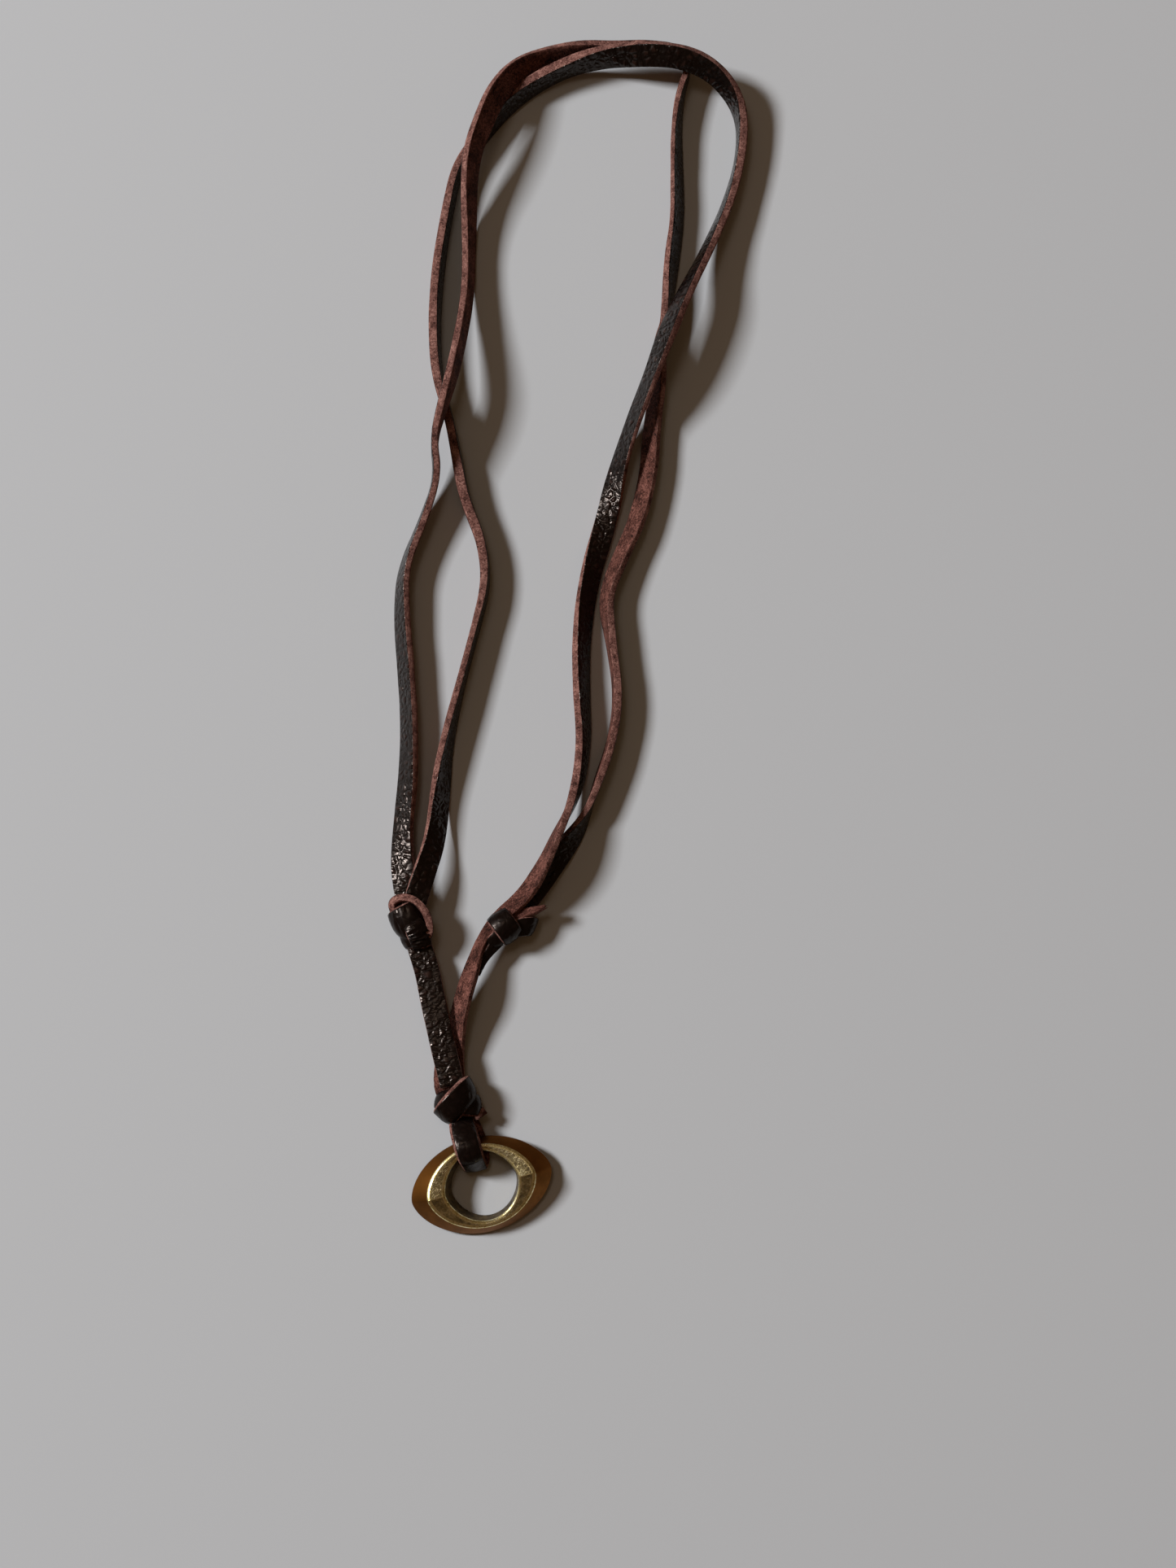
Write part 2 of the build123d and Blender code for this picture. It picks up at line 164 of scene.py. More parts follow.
def wayAt(points, i):
    # the direction of a line at one of its points
    return (points[min(i + 1, len(points) - 1)] - points[max(i - 1, 0)]).normalized()


def readRoute(route):
    # all along the lace: its middle, the way its grain faces, half its width and thickness
    middles, leans, sizes = [], [], []
    for x, y, lift, lean, wide, thick in route:
        a = math.radians(lean)
        rest = (wide * abs(math.sin(a)) + thick * abs(math.cos(a))) / 2
        middles.append((x * mm, y * mm, (lift + rest) * mm))
        leans.append((a, 0, 0))
        sizes.append((wide / 2 * mm, thick / 2 * mm, 0))
    middles, leans, sizes = readSpline(middles), readSpline(leans), readSpline(sizes)
    grains = []
    for i, lean in enumerate(leans):
        side = wayAt(middles, i).cross(up).normalized()
        above = side.cross(wayAt(middles, i))
        grains.append(above * math.cos(lean.x) - side * math.sin(lean.x))
    return middles, grains, sizes


def readTurn(rows):
    # the same three for a short piece of lace in a knot
    # its rows are x, y, z of the middle in mm, the way the grain faces, and the width
    middles = readSpline([[along * mm for along in row[:3]] for row in rows])
    grains = readSpline([row[3:6] for row in rows])
    sizes = readSpline([(row[6] / 2 * mm, lace["thickness"] / 2 * mm, 0) for row in rows])
    return middles, grains, sizes


def windBand(band):
    # the same three for a band wound round a knot, along its heading, from start to end in
    # degrees from the top; it leans by its tilt, and a swing more at its sides, where its
    # taper makes it narrower
    heading = math.radians(band["heading"])
    along = Vector((math.cos(heading), math.sin(heading), 0))
    axis = along.cross(up)
    reach, rise = band["halfWide"] * mm, band["halfHigh"] * mm
    middles, grains, sizes = [], [], []
    for degrees in range(band["start"], band["end"] + 1, lace["turnStep"]):
        a = math.radians(degrees)
        tilt = math.radians(band["tilt"] + band["swing"] * math.sin(a))
        aside = Vector(band["centre"]) * mm + along * reach * math.sin(a)
        middles.append(aside + up * rise * math.cos(a))
        out = (along * math.sin(a) / reach + up * math.cos(a) / rise).normalized()
        grains.append(out * math.cos(tilt) + axis * math.sin(tilt))
        wide = band["width"] * (1 - band["taper"] * math.sin(a) ** 2)
        sizes.append(Vector((wide / 2 * mm, lace["thickness"] / 2 * mm, 0)))
    return middles, grains, sizes


# Half of the lace's section, as shares of half its width and half its thickness: the knife
# leaned, so the flesh side is a little wider than the grain side, which is crowned
section = [
    (1.00, -0.60), (0.99, -0.10), (0.96, 0.45), (0.915, 0.86), (0.865, 0.98),
    (0.82, 1.00), (0.60, 1.02), (0.30, 1.06), (0.0, 1.08),
]
outline = section + [(-a, g) for a, g in reversed(section[:-1])]
outline += [
    (-0.985, -0.92), (-0.93, -1.0), (-0.5, -1.0), (0.0, -1.0), (0.5, -1.0), (0.93, -1.0),
    (0.985, -0.92),
]
grainFace, cutFace, fleshFace = 0, 1, 2
sides = {
    "grainAbove": 1.7, "fleshBelow": -1.85,     # sums of the heights at a face's two ends
    "fleshWithin": 0.99,
    "cutFrom": 0.8, "cutAbove": -0.7,     # the part of the outline that leans in
    "edgeFrom": 0.7,       # the part that wanders with its cut edge
}


def faceKind(j):
    # what lies between this point of the outline and the next
    (a, g), (b, h) = outline[j], outline[(j + 1) % len(outline)]
    if g + h > sides["grainAbove"]:
        return grainFace
    flat = g + h < sides["fleshBelow"] and max(abs(a), abs(b)) < sides["fleshWithin"]
    return fleshFace if flat else cutFace


plainShape = {
    "cup": (0.0, 0.0),     # mm, how far the left and right halves bend down
    "slant": 0.4,          # how much the cut edges lean in
    "ribs": 0.0, "ribSpacing": 0.8, "ribSlant": 0.6,     # mm, creases across the strip
    "ragged": 0.0,         # mm, unevenness of a torn end
}


def layLace(name, line, materials, shape):
    # a strip of leather along a line; the seed and the small factors keep its noises apart
    shape = {**plainShape, **shape}
    seed = shape["seed"]
    middles, grains, sizes = line
    half, thick = lace["width"] * mm / 2, lace["thickness"] * mm / 2
    places, around, travelled = [], [0.0], [0.0]
    for j in range(len(outline)):
        (a, g), (b, h) = outline[j], outline[(j + 1) % len(outline)]
        around.append(around[-1] + math.hypot((b - a) * half, (h - g) * thick))
    for one, two in zip(middles, middles[1:]):
        travelled.append(travelled[-1] + (two - one).length)
    count, whole = len(outline), travelled[-1]
    for i, middle in enumerate(middles):
        way = wayAt(middles, i)
        across = way.cross(grains[i]).normalized()
        grain = across.cross(way)
        s = travelled[i] / mm + seed * 31
        half, thick = sizes[i].x, sizes[i].y
        for a, g in outline:
            if g > sides["cutAbove"] and abs(a) > sides["cutFrom"]:
                a = math.copysign(1 - (1 - abs(a)) * shape["slant"], a)
            side = math.copysign(1, a) if abs(a) > sides["edgeFrom"] else a
            slow = noise.noise(Vector((s / lace["wanderLength"], side * 3, seed)))
            fine = noise.noise(Vector((s / lace["frayLength"], side * 5 + g, seed)))
            edge = lace["wander"] * slow + lace["fray"] * fine
            thicker = noise.noise(Vector((s / lace["swellLength"], a * 1.5, 7 + seed)))
            swell = lace["swell"] * thicker
            if shape["ribs"] and g > 0:
                crossing = (s + shape["ribSlant"] * a) / shape["ribSpacing"]
                crease = abs(noise.noise(Vector((crossing, a * 0.9, seed))))
                swell += shape["ribs"] * (0.4 - 2 * crease)
            torn = 0.0
            if shape["ragged"]:
                near = max(0.0, 1 - (whole - travelled[i]) / (lace["tearLength"] * mm))
                torn = near * shape["ragged"] * noise.noise(Vector((a * 4, g * 3, 11 + seed)))
            drop = shape["cup"][a > 0] * a * a  # mm
            point = middle + across * (a * half + side * edge * mm) + way * torn * mm
            point += grain * (g * thick + (math.copysign(1, g) * swell - drop) * mm)
            point.z = max(point.z, clearance)
            places.append(point)
    faces, kinds, maps = [], [], []
    for i in range(len(middles) - 1):
        this, following = i * count, (i + 1) * count
        for j in range(count):
            k = (j + 1) % count
            faces.append((this + j, following + j, following + k, this + k))
            kinds.append(faceKind(j))
            maps += [(travelled[i], around[j]), (travelled[i + 1], around[j]),
                     (travelled[i + 1], around[j + 1]), (travelled[i], around[j + 1])]
    last = (len(middles) - 1) * count
    for cap in (range(count), [last + j for j in reversed(range(count))]):
        faces.append(tuple(cap))
        kinds.append(cutFace)
        maps += [(outline[j % count][0] * half, outline[j % count][1] * thick) for j in cap]
    mesh = bpy.data.meshes.new(name)
    mesh.from_pydata(places, [], faces)
    mesh.polygons.foreach_set("material_index", kinds)
    mesh.polygons.foreach_set("use_smooth", [True] * len(faces))
    layer = mesh.uv_layers.new(name="UVMap")
    layer.data.foreach_set("uv", [number for pair in maps for number in pair])
    for material in materials:
        mesh.materials.append(material)
    mesh.update()
    piece = bpy.data.objects.new(name, mesh)
    bpy.context.collection.objects.link(piece)
    return piece


def joinPieces(name, pieces):
    # several turns of lace become one knot
    bpy.ops.object.select_all(action="DESELECT")
    for piece in pieces:
        piece.select_set(True)
    bpy.context.view_layer.objects.active = pieces[0]
    bpy.ops.object.join()
    pieces[0].name = name
    pieces[0].data.name = name
    bpy.ops.object.select_all(action="DESELECT")
    return pieces[0]


def linear(hexColour):
    # sRGB hex to the linear colour that the shaders take
    parts = [int(hexColour[i:i + 2], 16) / 255 for i in (1, 3, 5)]
    return [c / 12.92 if c <= 0.04045 else ((c + 0.055) / 1.055) ** 2.4 for c in parts] + [1.0]


def addNode(tree, kind, settings, links=None):
    # settings are the node's own, a ramp's stops or an input's value
    # links say for an input which node it takes, and which output of that
    node = tree.nodes.new("ShaderNode" + kind)
    for name, value in settings.items():
        if name == "stops":
            ramp = node.color_ramp.elements
            for place, colour in value[2:]:
                ramp.new(place)
            for element, (place, colour) in zip(ramp, sorted(value)):
                element.position = place
                element.color = linear(colour)
        elif isinstance(name, str) and hasattr(node, name):
            setattr(node, name, value)
        else:
            node.inputs[name].default_value = value
    for name, (other, output) in (links or {}).items():
        tree.links.new(other.outputs[output], node.inputs[name])
    return node


def startMaterial(name):
    material = bpy.data.materials.new(name)
    material.use_nodes = True
    material.node_tree.nodes.clear()
    return material, material.node_tree


def scaleOf(size):
    # the scale at which a texture's features are this many mm apart
    return 1 / (size * mm)


# Full grain cowhide, drum dyed near black and finished glossy: pebbles catch small white glints
pebbledGrain = {
    "pebble": 1.5,         # mm across
    "pebbleEdge": 0.40,    # share of a pebble that slopes down to the groove round it
    "crease": 1.9,         # mm between the creases that bending has left
    "creaseLength": 0.45,  # they run on across the lace, so they are squeezed by this
    "creaseEdge": 0.10,
    "creaseShare": 0.5,
    "pore": 0.35,          # mm
    "poreShare": 0.10,
    "warp": 2.2, "warpBy": 0.9,     # mm, makes the pebbles and creases uneven
    "depth": 0.19,         # mm, of the deepest groove
    "flatter": 7.0,        # mm, between patches where the grain is pulled flatter
    "flatterRange": (0.36, 0.60),
    "flattest": 0.45,
    # deep is the grain's darkest tone, and also the painted shade laid into the grooves round
    # the pebbles and into the creases
    "deep": "#090504", "body": "#21130f", "worn": "#321d17",
    "bodyAt": 0.6,
    "rough": (0.20, 0.34),
    "roughRange": (0.3, 0.7),
    "ior": 1.40,
    "shine": "#f8e2d4",    # the wax finish is a little brown
}
# The same cowhide pulled tight in the knots: its pebbles are stretched flat, its shine soft
stretchedGrain = {
    **pebbledGrain,
    "depth": 0.06, "crease": 3.0, "rough": (0.19, 0.34), "poreShare": 0.16, "flattest": 0.5,
    "deep": "#0b0605", "body": "#190f0c", "worn": "#281813", "ior": 1.34,
}


def makeGrain(name, grain):
    material, tree = startMaterial(name)
    place = addNode(tree, "TexCoord", {})
    warp = addNode(tree, "TexNoise", {"Scale": scaleOf(grain["warp"]), "Detail": 2.0},
                   {"Vector": (place, "UV")})
    warpBy = (grain["warpBy"] * mm,) * 3
    moved = addNode(tree, "VectorMath", {"operation": "MULTIPLY_ADD", 1: warpBy},
                    {0: (warp, "Color"), 2: (place, "UV")})
    pebble = {"feature": "DISTANCE_TO_EDGE", "Scale": scaleOf(grain["pebble"])}
    pebbles = addNode(tree, "TexVoronoi", pebble, {"Vector": (moved, 0)})
    smooth = {"interpolation_type": "SMOOTHSTEP", "From Min": 0.0}
    domes = addNode(tree, "MapRange", {**smooth, "From Max": grain["pebbleEdge"]},
                    {"Value": (pebbles, "Distance")})
    stretched = addNode(tree, "Mapping", {"Scale": (1.0, grain["creaseLength"], 1.0)},
                        {"Vector": (moved, 0)})
    crease = {"Scale": scaleOf(grain["crease"]), "Detail": 2.0, "Roughness": 0.5}
    bends = addNode(tree, "TexNoise", crease, {"Vector": (stretched, 0)})
    offset = addNode(tree, "Math", {"operation": "SUBTRACT", 1: 0.5}, {0: (bends, "Fac")})
    near = addNode(tree, "Math", {"operation": "ABSOLUTE"}, {0: (offset, 0)})
    creases = addNode(tree, "MapRange", {**smooth, "From Max": grain["creaseEdge"]},
                      {"Value": (near, 0)})
    pores = addNode(tree, "TexNoise", {"Scale": scaleOf(grain["pore"]), "Detail": 3.0},
                    {"Vector": (place, "UV")})
    relief = addNode(tree, "Math", {"operation": "MULTIPLY_ADD", 1: grain["creaseShare"]},
                     {0: (creases, 0), 2: (domes, 0)})
    relief = addNode(tree, "Math", {"operation": "MULTIPLY_ADD", 1: grain["poreShare"]},
                     {0: (pores, "Fac"), 2: (relief, 0)})
    areas = addNode(tree, "TexNoise", {"Scale": scaleOf(grain["flatter"]), "Detail": 1.0},
                    {"Vector": (place, "UV")})
    low, high = grain["flatterRange"]
    patch = {"From Min": low, "From Max": high, "To Min": grain["flattest"]}
    strength = addNode(tree, "MapRange", patch, {"Value": (areas, "Fac")})
    bump = addNode(tree, "Bump", {"Distance": grain["depth"] * mm},
                   {"Height": (relief, 0), "Strength": (strength, 0)})
    stops = [(0.0, grain["deep"]), (1.0, grain["worn"]), (grain["bodyAt"], grain["body"])]
    colour = addNode(tree, "ValToRGB", {"stops": stops}, {"Fac": (bends, "Fac")})
    # painted shade: the grooves round each pebble and the creases are darkened to the deep
    # colour
    grooveShade = addNode(tree, "Math", {"operation": "MULTIPLY"}, {0: (domes, 0), 1: (creases, 0)})
    dark = addNode(tree, "Mix", {"data_type": "RGBA", 6: linear(grain["deep"])},
                   {0: (grooveShade, 0), 7: (colour, "Color")})
    (low, high), (finest, coarsest) = grain["roughRange"], grain["rough"]
    patch = {"From Min": low, "From Max": high, "To Min": finest, "To Max": coarsest}
    gloss = addNode(tree, "MapRange", patch, {"Value": (warp, "Fac")})
    finish = {"IOR": grain["ior"], "Specular Tint": linear(grain["shine"])}
    shader = addNode(tree, "BsdfPrincipled", finish,
                     {"Base Color": (dark, 2), "Roughness": (gloss, 0), "Normal": (bump, 0)})
    addNode(tree, "OutputMaterial", {}, {"Surface": (shader, 0)})
    return material


# Flesh side of the split, left raw: short brushed fibres that scatter light, in blotches,
# darker where the nap is lower as painted shade at the roots
flesh = {
    "fibre": 0.5, "patch": 3.5,     # mm, tufts and the blotches over them
    "curl": 1.2,           # how much the tufts are twisted
    "patchShare": 0.45,
    "depth": 0.16,         # mm, of the nap
    "dark": "#150a07", "body": "#4a2a22", "light": "#7c5045",
    "darkAt": 0.56, "bodyAt": 0.71, "lightAt": 0.88,
    "rough": 0.92, "specular": 0.12,
    "sheen": 0.05, "sheenRough": 0.5, "sheenTint": "#b58f7e",
}
# Cut edge, knife cut through the paler middle of the hide: matte, dusty pink brown
cutEdge = {
    **flesh,
    "fibre": 0.4, "patch": 2.5, "depth": 0.08, "sheen": 0.06,
    "dark": "#2c1813", "body": "#66423a", "light": "#9a7064",
}


def makeRaw(name, raw):
    material, tree = startMaterial(name)
    place = addNode(tree, "TexCoord", {})
    tuft = {"Scale": scaleOf(raw["fibre"]), "Detail": 4.0, "Roughness": 0.7,
            "Distortion": raw["curl"]}
    fibres = addNode(tree, "TexNoise", tuft, {"Vector": (place, "UV")})
    patches = addNode(tree, "TexNoise", {"Scale": scaleOf(raw["patch"]), "Detail": 2.0},
                      {"Vector": (place, "UV")})
    mixed = addNode(tree, "Math", {"operation": "MULTIPLY_ADD", 1: raw["patchShare"]},
                    {0: (patches, "Fac"), 2: (fibres, "Fac")})
    # the colour follows the nap's height as well as the blotches: painted shade low in the nap,
    # lighter at the fibres' tips
    stops = [(raw["darkAt"], raw["dark"]), (raw["lightAt"], raw["light"]),
             (raw["bodyAt"], raw["body"])]
    colour = addNode(tree, "ValToRGB", {"stops": stops}, {"Fac": (mixed, 0)})
    bump = addNode(tree, "Bump", {"Strength": 1.0, "Distance": raw["depth"] * mm},
                   {"Height": (fibres, "Fac")})
    finish = {"Roughness": raw["rough"], "Specular IOR Level": raw["specular"],
              "Sheen Weight": raw["sheen"], "Sheen Roughness": raw["sheenRough"],
              "Sheen Tint": linear(raw["sheenTint"])}
    shader = addNode(tree, "BsdfPrincipled", finish,
                     {"Base Color": (colour, "Color"), "Normal": (bump, 0)})
    addNode(tree, "OutputMaterial", {}, {"Surface": (shader, 0)})
    return material


laceLeather = [makeGrain("pebbledCowhide", pebbledGrain), makeRaw("cutCowhide", cutEdge),
               makeRaw("brushedFlesh", flesh)]
knotLeather = [makeGrain("stretchedCowhide", stretchedGrain), laceLeather[1], laceLeather[2]]
print("leathers made")

# The two laces
for name, node, route, seed in (("leftLace", "left_lace", "leftRoute", 1.0),
                                ("rightLace", "right_lace", "rightRoute", 2.0)):
    line = readRoute(lace[route])
    piece = layLace(name, line, laceLeather, {"seed": seed})
    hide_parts(node)
    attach(piece, "root")

# The loop on the ring: from the knot over the rim, down into the hole and back under the rim
loop = {
    "shape": {"seed": 3.0, "cup": (0.45, 0.35), "slant": 1.7},
    "rows": (
        # x, y, z, the way the grain faces, and how wide
        (-1.8, -8.0, 2.7, 0.20, 0.10, 0.95, 4.6), (-1.5, -10.0, 3.3, 0.20, -0.10, 0.93, 5.0),
        (-1.2, -11.9, 4.4, 0.18, -0.25, 0.94, 5.3), (-0.8, -13.6, 5.5, 0.12, -0.10, 0.97, 5.5),
        (-0.3, -15.3, 6.4, 0.06, 0.05, 0.98, 5.5), (0.2, -17.2, 6.9, 0.06, -0.25, 0.95, 5.4),
        (0.7, -18.9, 6.1, 0.16, -0.55, 0.80, 5.2), (1.1, -19.7, 4.3, 0.30, -0.84, 0.44, 5.0),
        (1.3, -20.3, 2.9, 0.34, -0.94, 0.0, 4.9), (1.5, -20.7, 1.5, 0.25, -0.75, -0.62, 4.9),
        (1.7, -19.9, 0.85, 0.05, -0.15, -0.99, 4.9), (1.8, -18.2, 0.85, 0.0, 0.0, -1.0, 4.9),
        (1.5, -16.2, 0.85, 0.0, 0.0, -1.0, 4.8), (0.7, -13.6, 0.85, 0.0, 0.0, -1.0, 4.6),
        (-0.4, -11.2, 1.0, 0.0, 0.0, -1.0, 4.6),
    ),
}
ringLoop = layLace("ringLoop", readTurn(loop["rows"]), knotLeather, loop["shape"])
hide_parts("ring_loop")
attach(ringLoop, "root")
print("loop laid")


def tieKnot(name, node, turns):
    # the turns of one knot, each with its line and its shape, as one piece
    pieces = [layLace(name, line, knotLeather, shape) for line, shape in turns]
    knot = joinPieces(name, pieces)
    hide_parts(node)
    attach(knot, "root")
    print(name, "tied")


# The knot above the ring: a wide band over everything, a second one square to the laces,
# a bit of folded lace and a cut stub
pendantKnot = {
    "over": {
        "centre": (-2.15, -7.65, 3.70), "heading": 48.3, "halfWide": 4.0, "halfHigh": 2.85,
        "start": -150, "end": 150, "tilt": 12.0, "swing": 10.0, "width": 5.5, "taper": 0.04,
    },
    "under": {
        "centre": (-2.05, -7.5, 3.00), "heading": -9.0, "halfWide": 3.95, "halfHigh": 2.15,
        "start": -170, "end": 170, "tilt": -12.0, "swing": 0.0, "width": 5.0, "taper": 0.10,
    },
    "fold": (
        (-5.2, 1.6, 2.3, 0.1, 0.0, -1.0, 2.6), (-5.35, -0.4, 2.9, 0.2, 0.0, -1.0, 2.9),
        (-5.4, -2.4, 3.5, 0.25, 0.1, -0.95, 3.1), (-5.3, -4.0, 3.9, 0.2, 0.3, -0.93, 3.2),
        (-5.1, -5.2, 3.6, 0.1, 0.7, -0.60, 3.2), (-5.0, -5.7, 2.8, 0.1, 1.0, -0.1, 3.0),
    ),
    "stub": (
        (0.2, -9.3, 1.5, 0.50, -0.80, 0.30, 2.4), (1.4, -9.8, 1.9, 0.52, -0.80, 0.20, 2.5),
        (2.1, -9.95, 2.8, 0.55, -0.82, 0.0, 2.6), (2.35, -9.8, 3.9, 0.55, -0.82, -0.1, 2.5),
    ),
}
tieKnot("pendantKnot", "pendant_knot", [
    (windBand(pendantKnot["over"]), {"seed": 4.0, "cup": (0.0, 0.9), "slant": 1.5}),
    (windBand(pendantKnot["under"]), {"seed": 5.0, "cup": (0.5, 0.5), "slant": 1.0}),
    (readTurn(pendantKnot["fold"]), {"seed": 6.0}),
    (readTurn(pendantKnot["stub"]), {"seed": 7.0, "ragged": 0.5}),
])

# The left sliding knot: the lace on edge in an arch, a tight turn and a core in it,
# and a creased cut tail
leftKnot = {
    "arch": (
        (-14.7, 29.6, 2.2, -0.9, -0.3, -0.1, 4.4), (-15.1, 31.4, 2.7, -1.0, 0.2, -0.1, 4.8),
        (-14.9, 32.9, 3.2, -0.6, 0.9, -0.1, 5.0), (-13.3, 33.3, 3.7, -0.1, 1.0, -0.12, 5.0),
        (-11.4, 32.8, 3.9, 0.4, 1.0, -0.14, 5.0), (-9.9, 31.5, 3.9, 0.7, 0.7, -0.14, 5.0),
        (-8.7, 29.8, 3.9, 0.95, 0.4, -0.14, 5.0), (-8.2, 28.1, 3.8, 1.0, 0.2, -0.10, 4.9),
        (-8.1, 26.4, 3.5, 1.0, 0.0, -0.06, 4.7), (-8.7, 24.9, 3.1, 0.8, -0.5, 0.0, 4.3),
        (-9.9, 23.9, 2.8, 0.4, -0.9, 0.0, 4.0),
    ),
    "turn": {
        "centre": (-12.15, 28.7, 3.35), "heading": 27.0, "halfWide": 2.85, "halfHigh": 2.55,
        "start": -170, "end": 100, "tilt": 4.0, "swing": 0.0, "width": 7.2, "taper": 0.0,
    },
    "core": {
        "centre": (-10.9, 25.9, 2.75), "heading": 14.0, "halfWide": 2.45, "halfHigh": 2.0,
        "start": -170, "end": 170, "tilt": 0.0, "swing": 0.0, "width": 5.0, "taper": 0.05,
    },
    "tail": (
        (-12.1, 28.9, 5.0, -0.45, 0.25, 0.85, 3.4), (-11.5, 28.2, 6.0, -0.10, 0.15, 0.98, 3.9),
        (-10.8, 27.2, 6.3, 0.10, 0.0, 0.99, 4.4), (-10.2, 26.0, 6.0, 0.15, -0.20, 0.95, 4.6),
        (-9.8, 24.8, 5.3, 0.15, -0.45, 0.87, 4.4), (-9.5, 23.7, 4.5, 0.15, -0.50, 0.84, 4.0),
    ),
}
tieKnot("leftKnot", "left_knot", [
    (readTurn(leftKnot["arch"]), {"seed": 8.0}),
    (windBand(leftKnot["turn"]), {"seed": 9.0, "cup": (0.5, 0.9), "slant": 1.0,
                                  "ribs": 0.14, "ribSpacing": 0.9}),
    (windBand(leftKnot["core"]), {"seed": 10.0, "cup": (0.3, 0.7), "slant": 1.0, "ribs": 0.10}),
    (readTurn(leftKnot["tail"]), {"seed": 11.0, "cup": (0.5, 0.4), "ragged": 0.9,
                                  "ribs": 0.40, "ribSpacing": 0.7}),
])

# The right sliding knot: one glossy band, the lace going in and out under it, and a frayed end
rightKnot = {
    "band": {
        "centre": (7.15, 27.8, 3.50), "heading": -52.4, "halfWide": 2.75, "halfHigh": 2.75,
        "start": -160, "end": 180, "tilt": 0.0, "swing": 0.0, "width": 5.0, "taper": 0.0,
    },
    "lobe": (
        (7.6, 26.9, 4.4, 0.0, -0.25, 0.97, 3.4), (9.2, 27.2, 4.6, 0.0, -0.25, 0.97, 3.7),
        (10.8, 27.6, 4.6, 0.10, -0.25, 0.95, 4.1), (12.1, 27.8, 4.2, 0.55, -0.30, 0.75, 4.3),
        (12.7, 27.8, 3.1, 0.90, -0.36, 0.20, 4.3), (12.6, 27.8, 1.9, 0.90, -0.36, -0.20, 4.2),
        (11.9, 27.9, 1.1, 0.60, -0.30, -0.70, 4.2), (10.6, 28.1, 0.85, 0.0, -0.10, -1.0, 4.2),
    ),
    "block": (
        (7.4, 26.8, 4.7, 0.30, -0.30, 0.88, 3.6), (6.2, 25.7, 4.8, 0.28, -0.32, 0.88, 3.5),
        (5.1, 24.9, 4.6, 0.24, -0.40, 0.86, 3.1), (4.1, 24.4, 4.1, 0.0, -0.65, 0.74, 2.3),
        (3.5, 24.0, 3.2, -0.20, -0.90, 0.40, 1.5),
    ),
    "sliver": (
        (5.6, 25.0, 3.6, 0.30, -0.40, 0.86, 3.0), (4.5, 23.5, 3.7, 0.30, -0.30, 0.90, 2.4),
        (3.45, 22.0, 3.6, 0.30, -0.20, 0.93, 1.8), (2.5, 20.3, 3.3, 0.30, -0.20, 0.93, 1.2),
        (1.7, 18.0, 2.8, 0.30, -0.20, 0.93, 0.5),
    ),
    "end": (
        (8.3, 29.6, 4.0, 0.1, -0.2, -0.97, 2.6), (10.0, 30.0, 4.4, 0.1, -0.2, -0.97, 2.2),
        (11.7, 30.4, 4.8, 0.1, -0.2, -0.97, 1.8), (13.2, 30.8, 5.0, 0.1, -0.2, -0.97, 1.5),
        (14.4, 31.2, 5.0, 0.1, -0.2, -0.97, 1.1), (15.2, 31.6, 4.9, 0.1, -0.2, -0.97, 0.7),
    ),
}
tieKnot("rightKnot", "right_knot", [
    (windBand(rightKnot["band"]), {"seed": 12.0, "cup": (0.30, 0.30), "slant": 1.2}),
    (readTurn(rightKnot["lobe"]), {"seed": 13.0, "cup": (0.0, 0.3), "slant": 1.0}),
    (readTurn(rightKnot["block"]), {"seed": 14.0, "cup": (0.2, 0.4)}),
    (readTurn(rightKnot["sliver"]), {"seed": 16.0}),
    (readTurn(rightKnot["end"]), {"seed": 15.0, "ragged": 1.6}),
])

# The ring, cast brass: an eye-shaped outline, a raised crest and a nearly round hole
ring = {
    "length": 28.7, "breadth": 19.0, "height": 4.4,     # mm
    "edge": 0.9,           # mm, height of the upright band at its foot
    "crest": (21.6, 16.4),     # mm, where the flank meets the face
    "hole": (15.1, 14.5),
    "draft": 0.9,          # mm, how much narrower the hole is at the back
    "slant": 0.5,          # mm, how far the hole leans along the ring
    "dish": 0.2,           # mm, how far the face falls towards the hole
    "eyePoint": 1.2,       # 1 is an ellipse, more is pointed at both ends
    "ridgeTurn": 9.0,      # degrees, the face falls to both sides of the long axis
    "steps": 120,
    "crestRound": 0.75, "lipRound": 0.90, "ridgeRound": 0.20,     # mm, widths of the worn edges
    "roundSteps": 3, "fullness": 0.6,
    "faceSlope": 0.8,      # a steeper face belongs to the flank or the hole
    "smooth": 12,          # degrees, what meets at less is shaded as one
    "turn": 14.6, "tilt": 7.26,     # degrees
    "centre": (2.6, -23.8),
}
annulusFace, flankFace, wornFace, boreFace = 0, 1, 2, 3


